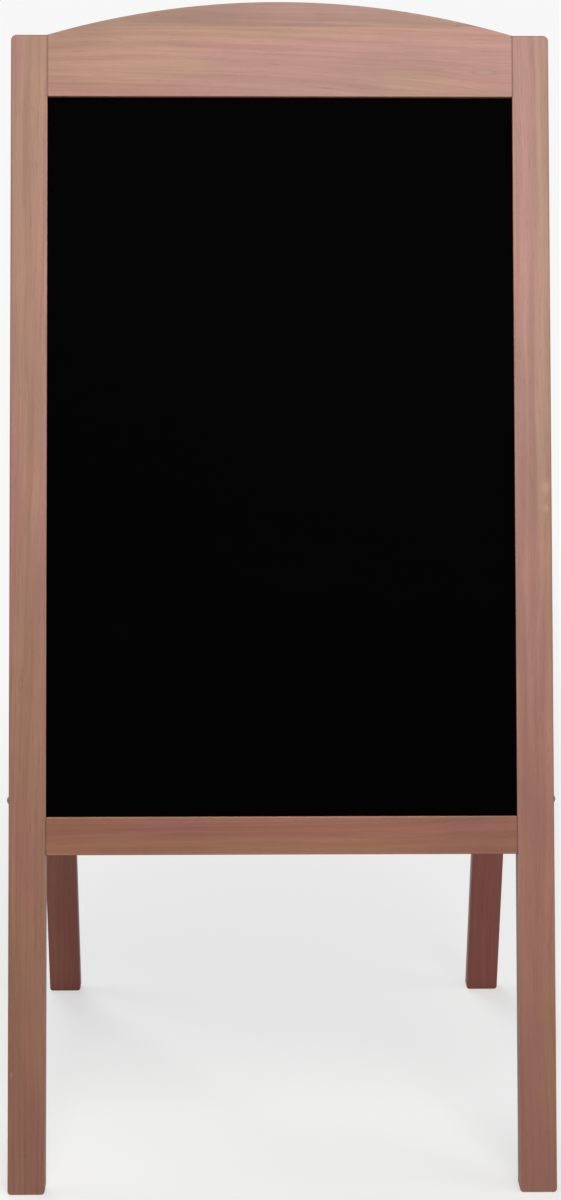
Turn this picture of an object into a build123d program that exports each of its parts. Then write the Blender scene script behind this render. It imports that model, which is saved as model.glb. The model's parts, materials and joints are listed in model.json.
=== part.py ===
from build123d import *
from math import asin, cos, degrees, radians, sin, sqrt, tan
import os

# Wooden A-frame sandwich board, standing open. Millimetres, +Z up, origin on the floor midway
# between the feet, front frame towards -Y. Both frames hang from one hinge axis along X.

# Frame timber
OVERALL_WIDTH = 560.0
STILE_WIDTH = 38.0
BOARD_THICKNESS = 19.0
STILE_LENGTH = 1190.0          # along the inner face, top to floor
TOP_RAIL_HEIGHT = 65.0         # at its ends, below the stile tops
ARCH_RISE = 35.0               # arch crown above the stile tops
ARCH_SEAM_RISE = 8.7           # glue line of the arch board above the stile tops
BOTTOM_RAIL_HEIGHT = 39.0
PANEL_SIGHT_HEIGHT = 747.0     # panel height seen between the rails
LEAN = 13.9                    # degrees of each frame from upright, standing open

# Panel
PANEL_THICKNESS = 3.0
PANEL_RECESS = 5.0             # panel face behind the frame's outer face
GROOVE_DEPTH = 7.0
PANEL_EDGE_PLAY = 0.5

# Corner dowels
DOWEL_RADIUS = 4.0
DOWEL_HOLE_DEPTH = 20.0
DOWEL_END_PLAY = 0.5
TOP_DOWEL_DROPS = (12.0, 44.0)      # below the stile tops
BOTTOM_DOWEL_DROPS = (13.0, 29.0)   # below the top of the bottom rail

# Eased edges
CORNER_RADIUS = 5.5
OUTER_EASE = 1.5
INNER_EASE = 0.6
RAIL_EASE = 1.0
ARCH_EASE = 0.8                # 45-degree arris along the arch
FOOT_EASE = 4.0

# Butt hinges
FRAME_GAP = 6.8                # between the inner faces when folded flat
AXIS_BELOW_CROWN = 11.0
HINGE_SPACING = 160.0
HINGE_LENGTH = 50.0
KNUCKLE_COUNT = 5
KNUCKLE_RADIUS = 3.0
KNUCKLE_GAP = 0.3
LEAF_THICKNESS = 1.5
LEAF_NOTCH = 3.5               # leaf starts this far below the axis, clear of the other's knuckles
LEAF_DROP = 30.0
LEAF_CORNER = 2.0
PIN_RADIUS = 1.5
PIN_HEAD_RADIUS = 2.3
PIN_HEAD_LENGTH = 1.2
RUNNING_CLEARANCE = 0.05
SCREW_PLACES = ((-17.0, 20.0), (0.0, 25.0), (17.0, 20.0))   # along the leaf, below the axis
SCREW_RADIUS = 1.5
SCREW_HEAD_RADIUS = 3.0
SCREW_DEPTH = 12.0
SCREW_TIP = 3.0
SCREW_SLOT = (3.4, 0.7, 0.8)   # length, width, depth of each arm of the cross recess

# Folding stays
PIVOT_DROP = 795.0             # stay pivot below the stile tops
PIVOT_INSET = 13.5             # stay pivot behind the frame's outer face
LINK_WIDTH = 10.0
LINK_THICKNESS = 2.0
LINK_EASE = 0.3
WORKING_GAP = 0.3
LINK_LAYER_GAP = 0.4
BOLT_RADIUS = 2.5
BOLT_HEAD_RADIUS = 4.8
BOLT_HEAD_HEIGHT = 2.8
BOLT_END = 1.0                 # thread showing past the nut
WASHER_RADIUS = 5.0
WASHER_THICKNESS = 1.0
NUT_FLATS = 8.0
NUT_HEIGHT = 4.0
NUT_CHAMFER = 0.5
RIVET_RADIUS = 2.0
RIVET_HEAD_RADIUS = 4.0
RIVET_HEAD_HEIGHT = 0.9

# Places worked out from the dimensions above. An upright frame hangs below the hinge axis,
# which is local z = 0, and its outer face looks along -Y.
OUTER_X = OVERALL_WIDTH / 2
INNER_X = OUTER_X - STILE_WIDTH
INNER_Y = -FRAME_GAP / 2
OUTER_Y = INNER_Y - BOARD_THICKNESS
MID_Y = (INNER_Y + OUTER_Y) / 2
PANEL_FRONT_Y = OUTER_Y + PANEL_RECESS
PANEL_BACK_Y = PANEL_FRONT_Y + PANEL_THICKNESS
CROWN_Z = AXIS_BELOW_CROWN
STILE_TOP_Z = CROWN_Z - ARCH_RISE
SEAM_Z = STILE_TOP_Z + ARCH_SEAM_RISE
SIGHT_TOP_Z = STILE_TOP_Z - TOP_RAIL_HEIGHT
SIGHT_BOTTOM_Z = SIGHT_TOP_Z - PANEL_SIGHT_HEIGHT
RAIL_BOTTOM_Z = SIGHT_BOTTOM_Z - BOTTOM_RAIL_HEIGHT
FOOT_Z = STILE_TOP_Z - STILE_LENGTH
ARCH_RADIUS = (INNER_X**2 + ARCH_RISE**2) / (2 * ARCH_RISE)
AXIS_HEIGHT = -FOOT_Z * cos(radians(LEAN)) + INNER_Y * sin(radians(LEAN))
PIVOT_Y = OUTER_Y + PIVOT_INSET
PIVOT_Z = STILE_TOP_Z - PIVOT_DROP
PIVOT_REACH = -PIVOT_Z * sin(radians(LEAN)) - PIVOT_Y * cos(radians(LEAN))
PIVOT_HEIGHT = AXIS_HEIGHT + PIVOT_Z * cos(radians(LEAN)) - PIVOT_Y * sin(radians(LEAN))
SCREW_Y = INNER_Y + LEAF_THICKNESS

# Layers of a stay, inwards from the stile's inner edge: distance to each piece's outer side
FRONT_LINK_IN = WASHER_THICKNESS + WORKING_GAP
FRONT_WASHER_IN = FRONT_LINK_IN + LINK_THICKNESS + WORKING_GAP
REAR_LINK_IN = FRONT_LINK_IN + LINK_THICKNESS + LINK_LAYER_GAP
REAR_SPACER = REAR_LINK_IN - WORKING_GAP
REAR_WASHER_IN = REAR_LINK_IN + LINK_THICKNESS + WORKING_GAP


def block(x_span, y_span, z_span):
    """A box between two places on each axis."""
    spans = (x_span, y_span, z_span)
    middle = [(low + high) / 2 for low, high in spans]
    size = [high - low for low, high in spans]
    return Pos(*middle) * Box(*size)


def rod(radius, x_span, y, z):
    """A round bar along X between two places."""
    return Pos(sum(x_span) / 2, y, z) * Rot(0, 90, 0) * Cylinder(radius, x_span[1] - x_span[0])


def dome(radius, height, x, y, z):
    """A spherical cap standing on the plane at x, bulging towards +X."""
    ball_radius = (radius**2 + height**2) / (2 * height)
    sweep = degrees(asin(radius / ball_radius))
    curve = CenterArc((height - ball_radius, 0), ball_radius, 0, sweep)
    outline = curve + Polyline((0, radius), (0, 0), (height, 0))
    return Pos(x, y, z) * revolve(make_face(outline), Axis.X)


def along(piece, axis, tolerance=0.01):
    """The straight edges of a piece that run along one axis."""
    return piece.edges().filter_by(axis, tolerance=tolerance)


def groove(x_span, z_span):
    """The space for the panel's edge."""
    return block(x_span, (PANEL_FRONT_Y, PANEL_BACK_Y), z_span)


def dowel_heights():
    """Heights of the four dowels at one side of a frame."""
    top = [STILE_TOP_Z - drop for drop in TOP_DOWEL_DROPS]
    bottom = [SIGHT_BOTTOM_Z - drop for drop in BOTTOM_DOWEL_DROPS]
    return top + bottom


def dowel_holes(x_span):
    """Blind holes for the corner dowels over a span along X."""
    return [rod(DOWEL_RADIUS, x_span, MID_Y, z) for z in dowel_heights()]


def screw_axes(side):
    """Places of one hinge's screws on an upright frame's inner face."""
    centre = side * HINGE_SPACING / 2
    return [(centre + shift, -drop) for shift, drop in SCREW_PLACES]


def screw_solid(x, z):
    """A countersunk wood screw, its head flush with the leaf, its point inside the rail."""
    head = Cone(SCREW_RADIUS, SCREW_HEAD_RADIUS, LEAF_THICKNESS)
    shank_length = SCREW_DEPTH - SCREW_TIP
    shank = Pos(0, 0, -(LEAF_THICKNESS + shank_length) / 2) * Cylinder(SCREW_RADIUS, shank_length)
    tip_middle = -LEAF_THICKNESS / 2 - shank_length - SCREW_TIP / 2
    tip = Pos(0, 0, tip_middle) * Cone(SCREW_RADIUS / 5, SCREW_RADIUS, SCREW_TIP)
    screw = head + shank + tip
    return Pos(x, SCREW_Y - LEAF_THICKNESS / 2, z) * Rot(-90, 0, 0) * screw


def stile():
    """Right-hand upright, before it is leant out and cut level at the floor."""
    foot_waste = BOARD_THICKNESS * tan(radians(LEAN)) + CORNER_RADIUS
    body = block((INNER_X, OUTER_X), (OUTER_Y, INNER_Y), (FOOT_Z - foot_waste, STILE_TOP_Z))
    top_corner = along(body, Axis.Y).group_by(Axis.Z)[-1].sort_by(Axis.X)[-1]
    body = fillet(top_corner, CORNER_RADIUS)
    long_edges = along(body, Axis.Z)
    body = fillet(long_edges.group_by(Axis.X)[-1], OUTER_EASE)
    body = fillet(along(body, Axis.Z).group_by(Axis.X)[0], INNER_EASE)
    panel_groove = (SIGHT_BOTTOM_Z - GROOVE_DEPTH, SIGHT_TOP_Z + GROOVE_DEPTH)
    body -= groove((INNER_X, INNER_X + GROOVE_DEPTH), panel_groove)
    body -= dowel_holes((INNER_X, INNER_X + DOWEL_HOLE_DEPTH))
    return body - rod(BOLT_RADIUS, (INNER_X, OUTER_X), PIVOT_Y, PIVOT_Z)


def arched_top():
    """Outline of the whole top rail, glued up from two boards, with its dowel and screw holes."""
    blank = block((-INNER_X, INNER_X), (OUTER_Y, INNER_Y), (SIGHT_TOP_Z, CROWN_Z))
    centre = Pos(0, MID_Y, CROWN_Z - ARCH_RADIUS) * Rot(90, 0, 0)
    body = blank & (centre * Cylinder(ARCH_RADIUS, 2 * BOARD_THICKNESS))
    body = chamfer(body.edges().filter_by(GeomType.CIRCLE), ARCH_EASE)
    body = fillet(along(body, Axis.X).group_by(Axis.Z)[0], RAIL_EASE)
    body -= groove((-INNER_X, INNER_X), (SIGHT_TOP_Z, SIGHT_TOP_Z + GROOVE_DEPTH))
    body -= dowel_holes((INNER_X - DOWEL_HOLE_DEPTH, INNER_X))
    body -= dowel_holes((-INNER_X, DOWEL_HOLE_DEPTH - INNER_X))
    return body - [screw_solid(x, z) for side in (-1, 1) for x, z in screw_axes(side)]


def top_rail():
    """Lower board of the arched top, up to the glue line."""
    return arched_top() & block((-INNER_X, INNER_X), (OUTER_Y, INNER_Y), (SIGHT_TOP_Z, SEAM_Z))


def arch_board():
    """Upper board of the arched top, a flat-bottomed bow above the glue line."""
    return arched_top() & block((-INNER_X, INNER_X), (OUTER_Y, INNER_Y), (SEAM_Z, CROWN_Z))


def bottom_rail():
    """Plain rail under the panel."""
    body = block((-INNER_X, INNER_X), (OUTER_Y, INNER_Y), (RAIL_BOTTOM_Z, SIGHT_BOTTOM_Z))
    body = fillet(along(body, Axis.X), RAIL_EASE)
    body -= groove((-INNER_X, INNER_X), (SIGHT_BOTTOM_Z - GROOVE_DEPTH, SIGHT_BOTTOM_Z))
    body -= dowel_holes((INNER_X - DOWEL_HOLE_DEPTH, INNER_X))
    return body - dowel_holes((-INNER_X, DOWEL_HOLE_DEPTH - INNER_X))


def panel():
    """Flat writing panel held in the grooves on all four sides."""
    hidden = GROOVE_DEPTH - PANEL_EDGE_PLAY
    half_width = INNER_X + hidden
    z_span = (SIGHT_BOTTOM_Z - hidden, SIGHT_TOP_Z + hidden)
    return block((-half_width, half_width), (PANEL_FRONT_Y, PANEL_BACK_Y), z_span)


def dowels():
    """Two dowels at each corner of a frame."""
    reach = DOWEL_HOLE_DEPTH - DOWEL_END_PLAY
    pegs = []
    for side in (-1, 1):
        ends = sorted((side * (INNER_X - reach), side * (INNER_X + reach)))
        for z in dowel_heights():
            peg = rod(DOWEL_RADIUS, ends, MID_Y, z)
            pegs.append(chamfer(peg.edges().filter_by(GeomType.CIRCLE), DOWEL_END_PLAY))
    return Compound(pegs)


def knuckle_spans(side, own):
    """Spans along X of the knuckles of one leaf: the even ones or the odd ones."""
    pitch = HINGE_LENGTH / KNUCKLE_COUNT
    start = side * HINGE_SPACING / 2 - HINGE_LENGTH / 2
    trim = KNUCKLE_GAP / 2
    places = [start + index * pitch for index in range(own, KNUCKLE_COUNT, 2)]
    return [(place + trim, place + pitch - trim) for place in places]


def hinge_leaf(side, own, bore):
    """One leaf on an upright frame's inner face, with its knuckles around the pin."""
    centre = side * HINGE_SPACING / 2
    x_span = (centre - HINGE_LENGTH / 2, centre + HINGE_LENGTH / 2)
    leaf = block(x_span, (INNER_Y, SCREW_Y), (-LEAF_DROP, -LEAF_NOTCH))
    leaf = fillet(along(leaf, Axis.Y).group_by(Axis.Z)[0], LEAF_CORNER)
    for span in knuckle_spans(side, own):
        leaf += block(span, (INNER_Y, SCREW_Y), (-LEAF_NOTCH, 0))
        leaf += rod(KNUCKLE_RADIUS, span, 0, 0)
    leaf -= rod(bore, x_span, 0, 0)
    return leaf - [screw_solid(x, z) for x, z in screw_axes(side)]


def hinge_pin(side):
    """Pin through one hinge's knuckles, with a small head at each end."""
    centre = side * HINGE_SPACING / 2
    half = HINGE_LENGTH / 2
    pin = rod(PIN_RADIUS, (centre - half, centre + half), 0, 0)
    for end in (-1, 1):
        inner = centre + end * half
        outer = inner + end * PIN_HEAD_LENGTH
        pin += rod(PIN_HEAD_RADIUS, sorted((inner, outer)), 0, 0)
    return chamfer(pin.edges().filter_by(GeomType.CIRCLE).group_by(Axis.X)[-1], KNUCKLE_GAP)


def hinge_screws():
    """Three cross-head screws for each of a frame's two leaves."""
    length, width, depth = SCREW_SLOT
    screws = []
    for side in (-1, 1):
        for x, z in screw_axes(side):
            slot_y = (SCREW_Y - depth, SCREW_Y)
            across = block((x - length / 2, x + length / 2), slot_y, (z - width / 2, z + width / 2))
            upright = block((x - width / 2, x + width / 2), slot_y, (z - length / 2, z + length / 2))
            screws.append(screw_solid(x, z) - across - upright)
    return Compound(screws)


def lean_out(piece):
    """Move an upright frame's piece to its place in the front frame, standing open."""
    return Pos(0, 0, AXIS_HEIGHT) * Rot(-LEAN, 0, 0) * piece


def level_foot(leaning_stile):
    """Cut a leaning stile level at the floor, with the cut's side edges eased."""
    reach = STILE_LENGTH
    above_floor = block((INNER_X, OUTER_X), (-reach, reach), (0, 2 * reach))
    foot_edges = along(above_floor, Axis.Y).group_by(Axis.Z)[0]
    return leaning_stile & fillet(foot_edges, FOOT_EASE)


def stay_bolt(side_in):
    """Right-hand pivot bolt, domed head outside, ending past the nut that starts at side_in."""
    end = INNER_X - side_in - NUT_HEIGHT - BOLT_END
    shank = rod(BOLT_RADIUS, (end, OUTER_X), PIVOT_Y, PIVOT_Z)
    return shank + dome(BOLT_HEAD_RADIUS, BOLT_HEAD_HEIGHT, OUTER_X, PIVOT_Y, PIVOT_Z)


def ring(side_in, thickness):
    """Right-hand washer or spacer on the pivot bolt, its outer side at side_in."""
    x_span = (INNER_X - side_in - thickness, INNER_X - side_in)
    plate = rod(WASHER_RADIUS, x_span, PIVOT_Y, PIVOT_Z)
    return plate - rod(BOLT_RADIUS, x_span, PIVOT_Y, PIVOT_Z)


def nut(side_in):
    """Right-hand hexagon nut on the pivot bolt, with eased corners."""
    x_span = (INNER_X - side_in - NUT_HEIGHT, INNER_X - side_in)
    hexagon = extrude(RegularPolygon(NUT_FLATS / 2, 6, major_radius=False), NUT_HEIGHT)
    hexagon = Pos(x_span[0], PIVOT_Y, PIVOT_Z) * Rot(0, 90, 0) * hexagon
    corner_radius = NUT_FLATS / sqrt(3)
    rounding = rod(corner_radius, x_span, PIVOT_Y, PIVOT_Z)
    rounding = chamfer(rounding.edges().filter_by(GeomType.CIRCLE), NUT_CHAMFER)
    return (hexagon & rounding) - rod(BOLT_RADIUS, x_span, PIVOT_Y, PIVOT_Z)


def stay_link(side_in, towards):
    """Right-hand flat link, level, from its stile pivot to the rivet over the board's middle."""
    thick = (INNER_X - side_in - LINK_THICKNESS, INNER_X - side_in)
    half_width = LINK_WIDTH / 2
    z_span = (PIVOT_HEIGHT - half_width, PIVOT_HEIGHT + half_width)
    pivot_y = -towards * PIVOT_REACH
    link = block(thick, sorted((pivot_y, 0)), z_span)
    link += rod(half_width, thick, pivot_y, PIVOT_HEIGHT)
    link += rod(half_width, thick, 0, PIVOT_HEIGHT)
    sides = (Plane(origin=(x, 0, 0), z_dir=(1, 0, 0)) for x in thick)
    rims = [edge for side in sides for edge in link.edges().filter_by(side)]
    link = chamfer(rims, LINK_EASE)
    link -= rod(BOLT_RADIUS + RUNNING_CLEARANCE, thick, pivot_y, PIVOT_HEIGHT)
    return link - rod(RIVET_RADIUS, thick, 0, PIVOT_HEIGHT)


def half_rivet(side_in, outward):
    """One link's half of the right-hand centre rivet, its head on the link's free side."""
    thick = (INNER_X - side_in - LINK_THICKNESS, INNER_X - side_in)
    body = rod(RIVET_RADIUS, thick, 0, PIVOT_HEIGHT)
    head = dome(RIVET_HEAD_RADIUS, RIVET_HEAD_HEIGHT, 0, 0, PIVOT_HEIGHT)
    if outward:
        return body + Pos(thick[1], 0, 0) * head
    return body + Pos(thick[0], 0, 0) * mirror(head, about=Plane.YZ)


def both_sides(piece):
    """A right-hand piece and its left-hand twin as one group of separate solids."""
    return Compound([*mirror(piece, about=Plane.YZ).solids(), *piece.solids()])


def save(name, piece):
    """Write one piece to its own STEP file."""
    piece.label = name
    export_step(piece, f"parts/{name}.step")


def save_frame_timber():
    """Both frames' boards, panels and dowels; the rear frame mirrors the front one."""
    right_stile = level_foot(lean_out(stile()))
    pieces = {
        "right_stile": right_stile,
        "left_stile": mirror(right_stile, about=Plane.YZ),
        "top_rail": lean_out(top_rail()),
        "arch_board": lean_out(arch_board()),
        "bottom_rail": lean_out(bottom_rail()),
        "panel": lean_out(panel()),
        "dowels": lean_out(dowels()),
        "hinge_screws": lean_out(hinge_screws()),
    }
    for name, piece in pieces.items():
        save(f"front_{name}", piece)
        save(f"rear_{name}", mirror(piece, about=Plane.XZ))


def save_hinges():
    """Two butt hinges: the front leaves hold the pins, the rear leaves turn on them."""
    for name, side in (("left", -1), ("right", 1)):
        front_leaf = lean_out(hinge_leaf(side, 0, PIN_RADIUS))
        rear_leaf = lean_out(hinge_leaf(side, 1, PIN_RADIUS + RUNNING_CLEARANCE))
        save(f"{name}_hinge_front_leaf", front_leaf)
        save(f"{name}_hinge_rear_leaf", mirror(rear_leaf, about=Plane.XZ))
        save(f"{name}_hinge_pin", lean_out(hinge_pin(side)))


def save_stay_fittings():
    """Pivot bolts, washers, spacers and nuts of both frames, in left and right pairs."""
    front = {
        "front_stay_bolts": stay_bolt(FRONT_WASHER_IN + WASHER_THICKNESS),
        "front_stay_washers": ring(0, WASHER_THICKNESS) + ring(FRONT_WASHER_IN, WASHER_THICKNESS),
        "front_stay_nuts": nut(FRONT_WASHER_IN + WASHER_THICKNESS),
    }
    rear = {
        "rear_stay_bolts": stay_bolt(REAR_WASHER_IN + WASHER_THICKNESS),
        "rear_stay_spacers": ring(0, REAR_SPACER),
        "rear_stay_washers": ring(REAR_WASHER_IN, WASHER_THICKNESS),
        "rear_stay_nuts": nut(REAR_WASHER_IN + WASHER_THICKNESS),
    }
    for name, piece in front.items():
        save(name, both_sides(lean_out(piece)))
    for name, piece in rear.items():
        save(name, both_sides(mirror(lean_out(piece), about=Plane.XZ)))


def save_stay_links():
    """Two links and the two halves of the centre rivet on each side."""
    right = {
        "stay_front_link": stay_link(FRONT_LINK_IN, 1),
        "stay_rear_link": stay_link(REAR_LINK_IN, -1),
        "stay_front_rivet": half_rivet(FRONT_LINK_IN, True),
        "stay_rear_rivet": half_rivet(REAR_LINK_IN, False),
    }
    for name, piece in right.items():
        save(f"right_{name}", piece)
        save(f"left_{name}", mirror(piece, about=Plane.YZ))


os.makedirs("parts", exist_ok=True)
save_frame_timber()
save_hinges()
save_stay_fittings()
save_stay_links()
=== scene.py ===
"""Looks of the wooden sandwich board: stained pine, chalkboard panels and plated hardware."""
import json
import math

import bpy
from mathutils import Matrix, Vector

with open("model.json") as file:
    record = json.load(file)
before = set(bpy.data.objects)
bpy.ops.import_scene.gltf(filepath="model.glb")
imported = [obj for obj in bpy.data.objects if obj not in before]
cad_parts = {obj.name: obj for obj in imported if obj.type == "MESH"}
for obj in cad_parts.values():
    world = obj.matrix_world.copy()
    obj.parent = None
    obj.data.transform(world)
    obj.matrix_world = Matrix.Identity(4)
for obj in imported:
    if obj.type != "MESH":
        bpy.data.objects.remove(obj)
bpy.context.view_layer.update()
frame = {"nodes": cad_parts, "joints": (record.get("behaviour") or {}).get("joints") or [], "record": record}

NODES = frame["nodes"]
FOLD = next(joint for joint in frame["joints"] if joint["name"] == "fold")
AXIS_HEIGHT = FOLD["pos_m"][2]
LEAN = math.radians(FOLD["range_deg"][1] / 2)    # of each frame from upright, at rest
MM = 0.001


# ---------------------------------------------------------------- node helpers

class Shader:
    """A material's node tree, built up with short calls."""

    def __init__(self, name):
        self.material = bpy.data.materials.new(name)
        self.material.use_nodes = True
        self.tree = self.material.node_tree
        self.tree.nodes.clear()

    def node(self, kind, settings=None, **inputs):
        """A new node with its settings and its inputs: values or sockets."""
        made = self.tree.nodes.new(kind)
        for name, value in (settings or {}).items():
            setattr(made, name, value)
        for name, value in inputs.items():
            self.feed(made, name.replace("_", " "), value)
        return made

    def feed(self, node, name, value):
        """Give one input, by name or number, a value or a link."""
        socket = node.inputs[int(name)] if name.isdigit() else node.inputs[name]
        if isinstance(value, bpy.types.NodeSocket):
            self.tree.links.new(value, socket)
        else:
            socket.default_value = value

    def math(self, operation, *values, clamp=False):
        """The result of a math node."""
        made = self.node("ShaderNodeMath", {"operation": operation, "use_clamp": clamp})
        for index, value in enumerate(values):
            self.feed(made, str(index), value)
        return made.outputs[0]

    def vector(self, operation, *values, scale=None):
        """The result of a vector math node."""
        made = self.node("ShaderNodeVectorMath", {"operation": operation})
        for index, value in enumerate(values):
            self.feed(made, str(index), value)
        if scale is not None:
            self.feed(made, "Scale", scale)
        return made.outputs["Value" if operation in ("LENGTH", "DOT_PRODUCT") else "Vector"]

    def noise(self, place, scale=1.0, detail=2.0, roughness=0.5, distortion=0.0):
        """A noise texture at a place."""
        return self.node("ShaderNodeTexNoise", None, Vector=place, Scale=scale, Detail=detail,
                         Roughness=roughness, Distortion=distortion)

    def span(self, value, low, high, to_low=0.0, to_high=1.0, smooth=True):
        """A value carried from one range to another, held at its ends."""
        kind = "SMOOTHSTEP" if smooth else "LINEAR"
        made = self.node("ShaderNodeMapRange", {"interpolation_type": kind, "clamp": True})
        for index, number in enumerate((value, low, high, to_low, to_high)):
            self.feed(made, str(index), number)
        return made.outputs["Result"]

    def mix(self, amount, first, second, blend="MIX"):
        """Two colours mixed by an amount."""
        made = self.node("ShaderNodeMix", {"data_type": "RGBA", "blend_type": blend})
        self.feed(made, "0", amount)
        self.feed(made, "6", first)
        self.feed(made, "7", second)
        return made.outputs[2]

    def surface(self, **inputs):
        """The principled surface and the material's output."""
        shader = self.node("ShaderNodeBsdfPrincipled")
        for name, value in inputs.items():
            self.feed(shader, name.replace("_", " "), value)
        output = self.node("ShaderNodeOutputMaterial")
        self.tree.links.new(shader.outputs[0], output.inputs[0])
        return self.material

    def bump(self, height, distance, strength=1.0):
        """A surface normal raised by a height, whose whole range is the distance."""
        made = self.node("ShaderNodeBump", None, Height=height, Distance=distance,
                         Strength=strength)
        return made.outputs[0]


def rgb(red, green, blue):
    """A colour given as sRGB parts of 255, as linear values."""
    parts = [part / 255 for part in (red, green, blue)]
    linear = [p / 12.92 if p <= 0.04045 else ((p + 0.055) / 1.055) ** 2.4 for p in parts]
    return (*linear, 1.0)


# ---------------------------------------------------------------- timber

EARLY_WOOD = rgb(171, 119, 97)
LATE_WOOD = rgb(142, 89, 68)
PINK_STAIN = rgb(166, 107, 95)
TAN_STAIN = rgb(166, 119, 88)
KNOT_BROWN = rgb(100, 58, 38)
# bare wood; along the arrises it is also a painted highlight
BARE_WOOD_AND_HIGHLIGHT = rgb(208, 166, 134)
# grime, and also the colour of the painted shade in the angles
GRIME_AND_SHADE = rgb(60, 36, 26)
HALF = (0.5, 0.5, 0.5)
RING_SPACING = 5.2 * MM

# places in an upright frame: depths and heights from the hinge axis, widths from the middle
OUTER_FACE = -22.4 * MM
RAIL_END = 242.0 * MM
TOP_RAIL_FOOT = -89.0 * MM
BOTTOM_RAIL_MIDDLE = -855.5 * MM
BOTTOM_RAIL_HALF = 19.5 * MM
SEAM_HEIGHT = -15.3 * MM

# sizes of the marks on the wood
JOINT_SOFTNESS = 2.0 * MM
SPOT_DEPTH = 0.4               # how quickly a spot fades below the face, against across it
KNOT_INFLUENCE = 3.2           # reach of a knot's bent rings, in knot sizes
KNOT_SWELL = 0.9               # how far those rings are pushed out, in knot sizes
SLOW_SWAY = 30 * MM            # side-to-side wander of the rings, slow and quick
QUICK_RIPPLE = 4.5 * MM
RAIL_ARRIS = 3.2 * MM          # reach of the wear and painted highlight from a rail's edges, then from a stile's
STILE_ARRIS = 2.0 * MM
CORNER_REACH = 6 * MM          # how far into a corner the painted shade is looked for
DARKENING_TOP = -720.0 * MM       # darkening of the uprights, from none here to most near the floor
DARKENING_BOTTOM = -1100.0 * MM
GRAIN_RELIEF = 0.10 * MM

# how strongly each thing shows, from 0 to 1
STAIN_STRENGTH = 0.62
RING_STRENGTH = 0.34
STREAK_STRENGTH = 0.42
PORE_STRENGTH = 0.34
KNOT_CORE_STRENGTH = 0.6
KNOT_RIM_STRENGTH = 0.19
END_GRAIN_STRENGTH = 0.35
# painted shade in the angles, grime in the joints, and darkening near the floor
CORNER_PAINTED_SHADE = 0.42
JOINT_GRIME = 0.40
DARKENING_NEAR_FLOOR = 0.19

# the varnish, and how much duller it is on end grain and where it is worn
END_DULLNESS = 0.22
WORN_DULLNESS = 0.20
VARNISH = {"IOR": 1.5, "Specular_IOR_Level": 0.5, "Coat_Weight": 0.55, "Coat_Roughness": 0.40}


def board_place(s, side, along_x):
    """Coordinates in a board: across, through its thickness, and along its grain, in metres."""
    lean = -LEAN if side == "front" else LEAN
    place = s.node("ShaderNodeTexCoord").outputs["Object"]
    upright = s.node("ShaderNodeMapping", {"vector_type": "TEXTURE"}, Vector=place)
    upright.inputs["Location"].default_value = (0, 0, AXIS_HEIGHT)
    upright.inputs["Rotation"].default_value = (lean, 0, 0)
    if not along_x:
        return upright.outputs[0]
    parts = s.node("ShaderNodeSeparateXYZ", None, Vector=upright.outputs[0])
    turned = s.node("ShaderNodeCombineXYZ", None, X=parts.outputs["Z"],
                    Y=parts.outputs["Y"], Z=parts.outputs["X"])
    return turned.outputs[0]


def spot(s, place, centre, size, stretch):
    """1 at a spot's middle, falling to 0 at its size; stretched along the grain."""
    offset = s.vector("SUBTRACT", place, centre)
    flat = s.vector("MULTIPLY", offset, (1.0, SPOT_DEPTH, 1.0 / stretch))
    return s.span(s.vector("LENGTH", flat), 0.0, size, 1.0, 0.0)


def joint_line(s, place, along_x):
    """1 in the hairline where a rail's end meets a stile's inner face, else 0."""
    parts = s.node("ShaderNodeSeparateXYZ", None, Vector=place).outputs
    if along_x:
        inset = s.math("SUBTRACT", RAIL_END, s.math("ABSOLUTE", parts["Z"]))
        return s.span(inset, 0.0, JOINT_SOFTNESS, 1.0, 0.0)
    inset = s.math("SUBTRACT", s.math("ABSOLUTE", parts["X"]), RAIL_END)
    beside_top_rail = s.math("GREATER_THAN", parts["Z"], TOP_RAIL_FOOT)
    beside_bottom_rail = s.math("COMPARE", parts["Z"], BOTTOM_RAIL_MIDDLE, BOTTOM_RAIL_HALF)
    joined = s.math("MAXIMUM", beside_top_rail, beside_bottom_rail)
    return s.math("MULTIPLY", joined, s.span(inset, 0.0, JOINT_SOFTNESS, 1.0, 0.0))


def glue_line(s, place):
    """1 along the seam between the top rail's two boards, falling to 0 a little way off it."""
    height = s.vector("DOT_PRODUCT", place, (1, 0, 0))
    off = s.math("ABSOLUTE", s.math("SUBTRACT", height, SEAM_HEIGHT))
    return s.span(off, 0.0, 2 * JOINT_SOFTNESS, 1.0, 0.0)


def wander(s, place, waves, detail, reach):
    """A sideways shift that changes along the grain, by up to half a reach each way."""
    field = s.noise(s.vector("MULTIPLY", place, waves), 1.0, detail, 0.5).outputs["Color"]
    return s.vector("SCALE", s.vector("SUBTRACT", field, HALF), scale=reach)


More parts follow.
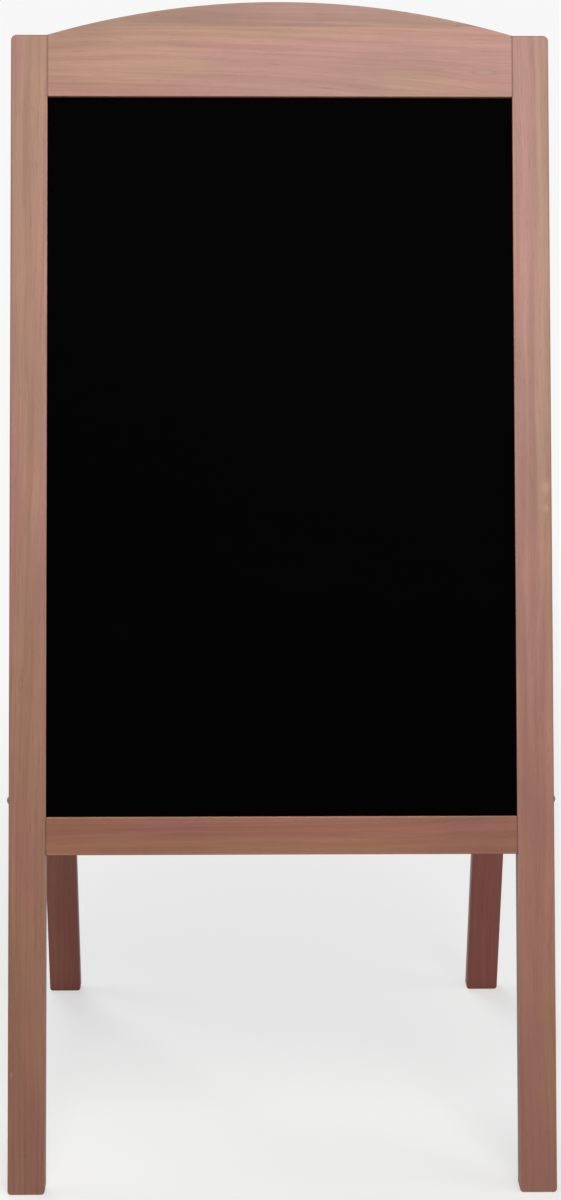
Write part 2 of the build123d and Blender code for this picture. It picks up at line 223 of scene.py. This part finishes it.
def growth(s, place, along, shift, pith, slant, knots):
    """A log's bent grain: its places, distances from the pith, late wood and knot cores."""
    shifted = s.vector("ADD", place, shift)
    sway = wander(s, shifted, (9, 9, 1.6), 2.0, SLOW_SWAY)
    ripple = wander(s, shifted, (26, 26, 9), 1.0, QUICK_RIPPLE)
    bent = s.vector("ADD", place, s.vector("ADD", sway, ripple))
    heart = s.vector("ADD", s.vector("SCALE", (*slant, 0), scale=along), (*pith, 0))
    ring_place = s.vector("MULTIPLY", bent, (1, 1, 0))
    radius = s.vector("LENGTH", s.vector("SUBTRACT", ring_place, heart))
    cores = 0.0
    for centre, size, stretch in knots:
        near = spot(s, place, centre, size * KNOT_INFLUENCE, stretch)
        radius = s.math("ADD", radius, s.math("MULTIPLY", near, size * KNOT_SWELL))
        cores = s.math("MAXIMUM", cores, spot(s, place, centre, size, stretch))
    uneven = s.noise(s.vector("SCALE", ring_place, scale=60), 1.0, 1.0).outputs[0]
    phase = s.math("ADD", s.math("DIVIDE", radius, RING_SPACING), s.math("MULTIPLY", uneven, 2.4))
    ring = s.math("FRACT", phase)
    late = s.math("MULTIPLY", s.span(ring, 0.12, 0.82), s.span(ring, 0.88, 1.0, 1.0, 0.0))
    return bent, radius, late, cores


def figure(s, place, along, shift, bent, radius, seed):
    """The noises of the wood's figure, by name, each with its place, waves, detail, roughness."""
    banded = s.node("ShaderNodeCombineXYZ", None, X=radius, Y=seed, Z=along).outputs[0]
    shifted = s.vector("ADD", place, shift)
    grain_place = s.vector("ADD", bent, shift)
    layers = {
        "band": (banded, (52, 1, 1.6), 2.0, 0.5),
        "streak": (banded, (190, 1, 3.4), 3.0, 0.6),
        "fibre": (grain_place, (620, 620, 9), 3.0, 0.6),
        "pores": (grain_place, (1500, 1500, 55), 1.0, 0.5),
        "patch": (shifted, (16, 16, 5.0), 3.0, 0.55),
        "blotch": (grain_place, (13, 13, 4.5), 2.0, 0.5),
    }
    return {name: s.noise(s.vector("MULTIPLY", where, waves), 1.0, detail, roughness).outputs[0]
            for name, (where, waves, detail, roughness) in layers.items()}


def stained(s, place, marks, late, cores, pinkness, wash, tints, patches):
    """The colour of the stained wood, before any wear: stain, rings, streaks, pores, knots."""
    hue = s.math("ADD", s.math("MULTIPLY", marks["band"], 0.5),
                 s.math("MULTIPLY", marks["blotch"], 0.5))
    for centre, size, stretch, shift in tints:
        hue = s.math("ADD", hue, s.math("MULTIPLY", spot(s, place, centre, size, stretch), shift))
    lean_to_pink = 0.14 * (pinkness - 0.5)
    stain = s.mix(s.span(hue, 0.43 - lean_to_pink, 0.57 - lean_to_pink), TAN_STAIN, PINK_STAIN)
    wood = s.mix(STAIN_STRENGTH, EARLY_WOOD, stain)

    # rings come and go with the streaks and blotches
    marked = s.math("MULTIPLY", s.span(marks["streak"], 0.40, 0.62, 0.25, 1.0),
                    s.span(marks["blotch"], 0.36, 0.60, 0.40, 1.0))
    rings = s.math("MULTIPLY", s.math("MULTIPLY", late, marked), RING_STRENGTH)
    wood = s.mix(rings, wood, LATE_WOOD)
    wood = s.mix(s.span(marks["streak"], 0.34, 0.68, 0.0, STREAK_STRENGTH), wood, LATE_WOOD)
    shade = s.span(marks["patch"], 0.30, 0.72, 0.92, 1.13)
    fine = s.span(marks["fibre"], 0.25, 0.80, 1.05, 0.95)
    wood = s.vector("SCALE", wood, scale=s.math("MULTIPLY", shade, fine))
    # the board's tone, and for the rear frame painted shade, darker and redder
    wood = s.vector("MULTIPLY", wood, wash)
    wood = s.mix(s.span(marks["pores"], 0.63, 0.74, 0.0, PORE_STRENGTH), wood, KNOT_BROWN)

    # darker clouds, and knots: a tan core in a faint rim
    for centre, size, stretch, depth in patches:
        cloud = s.math("MULTIPLY", spot(s, place, centre, size, stretch),
                       s.span(marks["patch"], 0.25, 0.65, 0.55, 1.0))
        wood = s.mix(s.math("MULTIPLY", cloud, depth), wood, KNOT_BROWN)
    wood = s.mix(s.math("MULTIPLY", cores, KNOT_CORE_STRENGTH), wood, TAN_STAIN)
    rim = s.math("MULTIPLY", s.span(cores, 0.0, 0.30), s.span(cores, 0.30, 0.75, 1.0, 0.2))
    return s.mix(s.math("MULTIPLY", rim, KNOT_RIM_STRENGTH), wood, KNOT_BROWN)


def worn_away(s, place, marks, joint, along_x):
    """The outer arrises away from the joints, and how far they are lightened: worn varnish and a painted
    highlight.
    """
    touching = s.math("MAXIMUM", joint, glue_line(s, place))
    edge = s.math("MULTIPLY", edge_mask(s, RAIL_ARRIS if along_x else STILE_ARRIS),
                  s.span(touching, 0.0, 0.1, 1.0, 0.0))
    return edge, s.math("MULTIPLY", edge, s.span(marks["patch"], 0.30, 0.62, 0.35, 0.75))


def grimed(s, along, marks, joint, edge, along_x):
    """Painted shade in the angles, grime in the joints, and the uprights darker near the ground."""
    # painted shade: darker where ambient occlusion finds a surface close by, away from the edges
    closeness = s.node("ShaderNodeAmbientOcclusion", {"samples": 6}, Distance=CORNER_REACH)
    shade_and_grime = s.math("MULTIPLY", s.span(closeness.outputs["AO"], 0.25, 0.85, CORNER_PAINTED_SHADE, 0.0),
                  s.span(edge, 0.1, 0.6, 1.0, 0.0))
    shade_and_grime = s.math("MAXIMUM", shade_and_grime, s.math("MULTIPLY", joint, JOINT_GRIME))
    if along_x:
        return shade_and_grime
    # the uprights darker towards the floor
    low_darkening = s.math("MULTIPLY", s.span(along, DARKENING_TOP, DARKENING_BOTTOM, 0.0, DARKENING_NEAR_FLOOR),
                      s.span(marks["patch"], 0.25, 0.65, 0.6, 1.0))
    return s.math("MAXIMUM", shade_and_grime, low_darkening)


def timber(name, side, along_x, pith, seed, slant=(0, 0), pinkness=0.5, wash=(1, 1, 1),
           knots=(), patches=(), tints=(), scuffs=()):
    """Stained, lightly varnished pine from a log whose pith runs beside the board at a slant."""
    s = Shader(name)
    place = board_place(s, side, along_x)
    along = s.vector("DOT_PRODUCT", place, (0, 0, 1))
    shift = (seed * 0.37, seed * 0.21, seed * 1.13)
    bent, radius, late, cores = growth(s, place, along, shift, pith, slant, knots)
    marks = figure(s, place, along, shift, bent, radius, seed)
    wood = stained(s, place, marks, late, cores, pinkness, wash, tints, patches)

    # end grain drinks more stain and varnish, so it is darker and duller
    rough = s.span(marks["streak"], 0.25, 0.75, 0.40, 0.48)
    if not along_x:
        facing = s.node("ShaderNodeTexCoord").outputs["Normal"]
        ends = s.math("ABSOLUTE", s.vector("DOT_PRODUCT", facing, (0, 0, 1)))
        wood = s.mix(s.span(ends, 0.70, 0.90, 0.0, END_GRAIN_STRENGTH), wood, KNOT_BROWN)
        rough = s.math("ADD", rough, s.span(ends, 0.70, 0.90, 0.0, END_DULLNESS))

    # bare wood along the arrises, with a painted highlight there, and in rubbed marks; then painted shade in
    # the angles and grime in the joints over both
    joint = joint_line(s, place, along_x)
    edge, worn_and_lit = worn_away(s, place, marks, joint, along_x)
    wood = s.mix(worn_and_lit, wood, BARE_WOOD_AND_HIGHLIGHT)
    for centre, size, stretch in scuffs:
        rub = s.math("MULTIPLY", spot(s, place, centre, size, stretch),
                     s.span(marks["fibre"], 0.35, 0.60, 0.18, 0.40))
        wood = s.mix(rub, wood, BARE_WOOD_AND_HIGHLIGHT)
    wood = s.mix(grimed(s, along, marks, joint, edge, along_x), wood, GRIME_AND_SHADE)

    rough = s.math("ADD", rough, s.math("MULTIPLY", worn_and_lit, WORN_DULLNESS))
    grain = s.math("ADD", s.math("MULTIPLY", late, 0.5), s.math("MULTIPLY", marks["fibre"], 0.7))
    grain = s.math("SUBTRACT", grain, s.span(marks["pores"], 0.62, 0.74, 0.0, 0.5))
    return s.surface(Base_Color=wood, Roughness=rough, Normal=s.bump(grain, GRAIN_RELIEF, 0.8),
                     **VARNISH)


def edge_mask(s, radius):
    """About 1 along outer edges, 0 on flat faces, from how far a bevelled normal turns."""
    bevel = s.node("ShaderNodeBevel", {"samples": 6}, Radius=radius).outputs[0]
    true = s.node("ShaderNodeNewGeometry").outputs["Normal"]
    return s.span(s.vector("DOT_PRODUCT", bevel, true), 0.86, 0.998, 1.0, 0.0)


def dress(node, material):
    """Give a CAD node's object one material."""
    mesh = NODES[node].data
    mesh.materials.clear()
    mesh.materials.append(material)


def tinted(wash, tint):
    """A frame's painted shade multiplied by a board's tint."""
    return tuple(first * second for first, second in zip(wash, tint))


# washes over the stain: the rear frame is painted in shade, darker and redder, and the arch and the bottom
# rail are darker
REAR_STILE_PAINTED_SHADE = (1.03, 0.68, 0.70)
REAR_RAIL_PAINTED_SHADE = (1.02, 0.76, 0.77)
ARCH_TINT = (0.84, 0.86, 0.88)
BOTTOM_RAIL_TINT = (0.82, 0.68, 0.57)

# marks of the front frame alone, each with its place, its size and its stretch along the
# grain; a tint also has its shift of hue, to pink if it is positive and to tan if it isn't
FRONT_TINTS = {
    "left_stile": [((-0.278, OUTER_FACE, -0.050), 0.014, 5.0, 0.20),
                   ((-0.258, OUTER_FACE, -0.220), 0.030, 8.0, -0.22),
                   ((-0.255, OUTER_FACE, -0.480), 0.022, 7.0, -0.12)],
    "right_stile": [((0.276, OUTER_FACE, -0.140), 0.017, 16.0, -0.32),
                    ((0.275, OUTER_FACE, -0.480), 0.019, 16.0, -0.34)],
    "top_rail": [((-0.045, OUTER_FACE, -0.200), 0.060, 2.0, -0.20),
                 ((-0.050, OUTER_FACE, 0.010), 0.055, 2.6, 0.18),
                 ((-0.078, OUTER_FACE, 0.130), 0.026, 4.0, -0.18)],
}
FRONT_SCUFFS = {
    "left_stile": [((-0.276, OUTER_FACE, -1.098), 0.0026, 1.6)],
    "right_stile": [((0.275, OUTER_FACE, -0.497), 0.0085, 1.3),
                    ((0.274, OUTER_FACE, -0.519), 0.0055, 1.3)],
}


def board(side, node, along_x, pith, seed, **looks):
    """Dress one board of a frame in pine of its own."""
    name = f"{side}_{node}"
    if side == "front":
        looks |= {"tints": FRONT_TINTS.get(node, ()), "scuffs": FRONT_SCUFFS.get(node, ())}
    dress(name, timber(f"{name}_pine", side, along_x, pith, seed, **looks))


def dress_frame(side, flip, seed, stile_wash, rail_wash):
    """The boards of one frame, no two with the same grain; flip is -1 where it faces +Y."""
    face = OUTER_FACE * flip
    board(side, "left_stile", False, (-0.330, flip * 0.030), seed + 0.1, slant=(0.012, 0),
          pinkness=0.35, wash=stile_wash, knots=[((-0.268, face, -0.700), 0.0035, 2.2)])
    board(side, "right_stile", False, (0.190, flip * 0.050), seed + 1.3, slant=(-0.010, 0),
          pinkness=0.75, wash=stile_wash)
    board(side, "top_rail", True, (-0.150, flip * 0.030), seed + 2.2, slant=(0.03, flip * 0.10),
          pinkness=0.60, wash=rail_wash, knots=[((-0.063, face, 0.213), 0.0046, 4.0)])
    board(side, "arch_board", True, (0.060, flip * 0.012), seed + 3.4, slant=(-0.04, 0),
          pinkness=0.45, wash=tinted(rail_wash, ARCH_TINT),
          patches=[((0.002, face, -0.062), 0.032, 2.6, 0.26),
                   ((-0.006, face, -0.140), 0.040, 4.0, 0.16)])
    board(side, "bottom_rail", True, (-0.900, flip * 0.030), seed + 4.6, slant=(0.03, 0),
          pinkness=0.50, wash=tinted(rail_wash, BOTTOM_RAIL_TINT))


# ---------------------------------------------------------------- paint, dowels and metal

BOARD_BLACK = (0.0007, 0.0007, 0.0008, 1)
CHALK_HAZE = (0.0022, 0.0022, 0.0024, 1)
BEECH_PALE = rgb(214, 182, 140)
BEECH_FLECK = rgb(182, 142, 98)
RUBBED_STEEL = (0.86, 0.85, 0.82, 1)


def chalkboard(name):
    """Matte black board paint with faint wiped chalk and a fine grit."""
    s = Shader(name)
    place = s.node("ShaderNodeTexCoord").outputs["Object"]
    cloud = s.noise(s.vector("MULTIPLY", place, (5, 5, 3.5)), 1.0, 4.0, 0.6, 0.8).outputs[0]
    wiped = s.noise(s.vector("MULTIPLY", place, (14, 14, 60)), 1.0, 3.0, 0.6, 1.2).outputs[0]
    grit = s.noise(place, 2600.0, 2.0).outputs[0]
    haze = s.math("MULTIPLY", s.span(cloud, 0.45, 0.75), s.span(wiped, 0.40, 0.70))
    colour = s.mix(s.math("MULTIPLY", haze, 0.5), BOARD_BLACK, CHALK_HAZE)
    rough = s.span(haze, 0.0, 1.0, 0.62, 0.80)
    return s.surface(Base_Color=colour, Roughness=rough, Normal=s.bump(grit, 0.03 * MM, 0.5),
                     IOR=1.45, Specular_IOR_Level=0.012)


def beech(name):
    """Plain beech, pale with short flecks."""
    s = Shader(name)
    place = s.node("ShaderNodeTexCoord").outputs["Object"]
    fleck = s.noise(s.vector("MULTIPLY", place, (90, 1400, 1400)), 1.0, 2.0).outputs[0]
    colour = s.mix(s.span(fleck, 0.35, 0.70), BEECH_PALE, BEECH_FLECK)
    return s.surface(Base_Color=colour, Roughness=0.6, Normal=s.bump(fleck, 0.05 * MM))


def plated_steel(name, colour, dark, rough, brushed):
    """Zinc-plated steel: spangle, marks as fine as brushed says on each axis, dull old patches."""
    s = Shader(name)
    place = s.node("ShaderNodeTexCoord").outputs["Object"]
    spangle = s.noise(place, 420.0, 2.0, 0.5).outputs[0]
    lines = s.noise(s.vector("MULTIPLY", place, brushed), 1.0, 3.0, 0.6).outputs[0]
    age = s.noise(place, 60.0, 4.0, 0.6).outputs[0]
    tint = s.mix(s.span(age, 0.40, 0.72, 0.0, 0.6), colour, dark)
    tint = s.mix(s.math("MULTIPLY", edge_mask(s, 0.4 * MM), 0.35), tint, RUBBED_STEEL)
    roughness = s.math("ADD", s.span(age, 0.30, 0.75, rough - 0.08, rough + 0.14),
                       s.span(lines, 0.30, 0.70, -0.04, 0.05))
    height = s.math("ADD", s.math("MULTIPLY", spangle, 0.4), lines)
    return s.surface(Base_Color=tint, Metallic=1.0, Roughness=roughness,
                     Normal=s.bump(height, 0.02 * MM, 0.6))


def dress_hardware():
    """Panels, dowels, hinges, stays and fasteners."""
    paint = chalkboard("chalkboard_paint")
    wood_pin = beech("beech_dowel")
    hinge = plated_steel("hinge_plate", (0.60, 0.58, 0.53, 1), (0.38, 0.35, 0.30, 1), 0.36,
                         (40, 1800, 1800))
    link = plated_steel("stay_bar", (0.58, 0.58, 0.57, 1), (0.38, 0.37, 0.35, 1), 0.34,
                        (1800, 30, 1800))
    fastener = plated_steel("fastener_plate", (0.50, 0.48, 0.44, 1), (0.30, 0.27, 0.23, 1), 0.40,
                            (300, 300, 300))
    slots = {"writing_panel": paint, "dowel": wood_pin, "hinge_steel": hinge,
             "stay_steel": link, "fastener_steel": fastener}
    for part in frame["record"]["subparts"]:
        if part["material_slot"] in slots:
            dress(part["node"], slots[part["material_slot"]])


# ---------------------------------------------------------------- studio

FLOOR_RADIUS = 60.0
FLOOR_COLOUR = (0.93, 0.93, 0.93, 1)
BACKDROP_COLOUR = (0.93, 0.93, 0.93, 1)
GLOW_START, GLOW_FULL = 0.8, 3.6     # distances over which the floor fades to the backdrop
GLOW_AT_BOARD = 0.55                 # the backdrop's share of the floor under the board
AMBIENT = 0.21
AMBIENT_COLOUR = (0.96, 0.98, 1.0, 1)
KEY_COLOUR = (1.0, 0.97, 0.94)
CAMERA_PLACE = (-0.0474, -2.7346, 1.0833)
CAMERA_TURNS = (10.94, 1.038, -0.114)      # pitch, yaw and roll, in degrees
FOCAL_LENGTH = 76.1
SENSOR_WIDTH = 36.0


def make_floor():
    """A pale floor that fades into the backdrop far from the board."""
    bpy.ops.mesh.primitive_circle_add(vertices=96, radius=FLOOR_RADIUS, fill_type="NGON")
    floor = bpy.context.object
    floor.name = "studio_floor"
    s = Shader("studio_floor_paint")
    place = s.node("ShaderNodeTexCoord").outputs["Object"]
    far = s.span(s.vector("LENGTH", place), GLOW_START, GLOW_FULL, GLOW_AT_BOARD, 1.0)
    near = s.node("ShaderNodeBsdfDiffuse", None, Color=FLOOR_COLOUR)
    seen = s.node("ShaderNodeLightPath").outputs["Is Camera Ray"]
    glow = s.node("ShaderNodeEmission", None, Color=BACKDROP_COLOUR,
                  Strength=s.span(seen, 0.0, 1.0, AMBIENT, 1.0, smooth=False))
    mixed = s.node("ShaderNodeMixShader", None)
    s.feed(mixed, "0", far)
    s.feed(mixed, "1", near.outputs[0])
    s.feed(mixed, "2", glow.outputs[0])
    output = s.node("ShaderNodeOutputMaterial")
    s.tree.links.new(mixed.outputs[0], output.inputs[0])
    floor.data.materials.append(s.material)


def make_world():
    """An even pale backdrop, dimmer as a light than it looks to the camera."""
    world = bpy.data.worlds.new("studio")
    bpy.context.scene.world = world
    world.use_nodes = True
    tree = world.node_tree
    tree.nodes.clear()
    seen = tree.nodes.new("ShaderNodeBackground")
    seen.inputs[0].default_value = BACKDROP_COLOUR
    lighting = tree.nodes.new("ShaderNodeBackground")
    lighting.inputs[0].default_value = AMBIENT_COLOUR
    lighting.inputs[1].default_value = AMBIENT
    rays = tree.nodes.new("ShaderNodeLightPath")
    mixed = tree.nodes.new("ShaderNodeMixShader")
    output = tree.nodes.new("ShaderNodeOutputWorld")
    tree.links.new(rays.outputs["Is Camera Ray"], mixed.inputs[0])
    tree.links.new(lighting.outputs[0], mixed.inputs[1])
    tree.links.new(seen.outputs[0], mixed.inputs[2])
    tree.links.new(mixed.outputs[0], output.inputs[0])


def softbox(name, place, target, size, power, colour=(1, 1, 1)):
    """An area light of a width and a height, aimed at a point and unseen by the camera."""
    light = bpy.data.lights.new(name, "AREA")
    light.shape = "RECTANGLE"
    light.size, light.size_y = size
    light.energy = power
    light.color = colour
    holder = bpy.data.objects.new(name, light)
    holder.location = place
    aim = Vector(target) - Vector(place)
    holder.rotation_euler = aim.to_track_quat("-Z", "Y").to_euler()
    holder.visible_camera = False
    bpy.context.scene.collection.objects.link(holder)


def make_lights():
    """A tall, high key in front, a fill at each side and a strong one behind."""
    softbox("key", (0.22, -1.90, 2.25), (0, 0, 1.0), (1.5, 2.3), 44, KEY_COLOUR)
    softbox("fill_right", (3.0, -1.0, 2.3), (0, 0, 1.0), (2.0, 2.0), 28)
    softbox("fill_left", (-3.0, 0.6, 2.3), (0, 0, 1.0), (2.0, 2.0), 30)
    softbox("fill_back", (-1.2, 3.2, 2.5), (0, 0, 0.7), (2.0, 2.0), 70)


def make_camera():
    """The camera, a little left of the board's middle and looking slightly down."""
    pitch, yaw, roll = (math.radians(angle) for angle in CAMERA_TURNS)
    camera = bpy.data.objects.new("camera", bpy.data.cameras.new("camera"))
    camera.data.lens = FOCAL_LENGTH
    camera.data.sensor_width = SENSOR_WIDTH
    place = Matrix.Translation(CAMERA_PLACE)
    turn = Matrix.Rotation(-yaw, 4, "Z") @ Matrix.Rotation(math.pi / 2 - pitch, 4, "X")
    camera.matrix_world = place @ turn @ Matrix.Rotation(-roll, 4, "Z")
    bpy.context.scene.collection.objects.link(camera)
    bpy.context.scene.camera = camera


dress_frame("front", 1, 1, (1, 1, 1), (1, 1, 1))
# the rear frame in painted shade: darker and redder
dress_frame("rear", -1, 6, REAR_STILE_PAINTED_SHADE, REAR_RAIL_PAINTED_SHADE)
dress_hardware()
make_floor()
make_world()
make_lights()
make_camera()
bpy.context.scene.view_settings.view_transform = "Standard"
